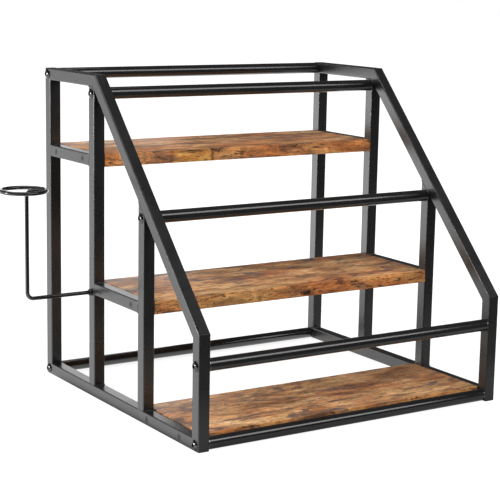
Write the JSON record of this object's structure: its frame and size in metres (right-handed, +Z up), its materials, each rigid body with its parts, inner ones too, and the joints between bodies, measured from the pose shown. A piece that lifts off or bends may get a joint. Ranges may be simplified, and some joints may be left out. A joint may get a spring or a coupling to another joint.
{
  "type": "coffee station organizer",
  "caption": "Stepped countertop rack: square-tube side frames joined by round rails, with wooden boards as steps and a wire ring holder on one side.",
  "frame": {"origin": "middle of the whole part's footprint, ring holder included, at the level of the counter", "axes": "+X to the right along the boards, +Y from the low front to the high back, +Z up"},
  "size_m": [0.564, 0.398, 0.407],
  "materials": {
    "powder_coat": "black powder coat, satin, very fine texture",
    "plated_steel": "dark nickel plated steel, polished",
    "black_hardware": "black oxide steel, semi-gloss",
    "rustic_board": "rustic brown wood decor on particle board, satin",
    "board_edging": "rustic brown edging strip, satin"
  },
  "bodies": {
    "root": {"left_back_upright": "powder_coat", "left_top_tube": "powder_coat", "left_slanted_tube": "powder_coat", "left_front_upright": "powder_coat", "left_bottom_tube": "powder_coat", "left_rear_inner_upright": "powder_coat", "left_front_inner_upright": "powder_coat", "left_top_shelf_support": "powder_coat", "left_middle_shelf_support": "powder_coat", "right_back_upright": "powder_coat", "right_top_tube": "powder_coat", "right_slanted_tube": "powder_coat", "right_front_upright": "powder_coat", "right_bottom_tube": "powder_coat", "right_rear_inner_upright": "powder_coat", "right_front_inner_upright": "powder_coat", "right_top_shelf_support": "powder_coat", "right_middle_shelf_support": "powder_coat", "top_back_rail": "powder_coat", "top_front_rail": "powder_coat", "middle_rail": "powder_coat", "front_rail": "powder_coat", "bottom_front_rail": "powder_coat", "bottom_back_rail": "powder_coat", "rail_inserts": "plated_steel", "rail_bolts": "plated_steel", "top_board": "rustic_board", "middle_board": "rustic_board", "bottom_board": "rustic_board", "top_board_edging": "board_edging", "middle_board_edging": "board_edging", "bottom_board_edging": "board_edging", "shelf_screws": "black_hardware", "holder_wire": "powder_coat", "holder_ring": "powder_coat", "holder_lock_nut": "black_hardware", "holder_rivet_nut": "plated_steel"}
  },
  "joints": []
}
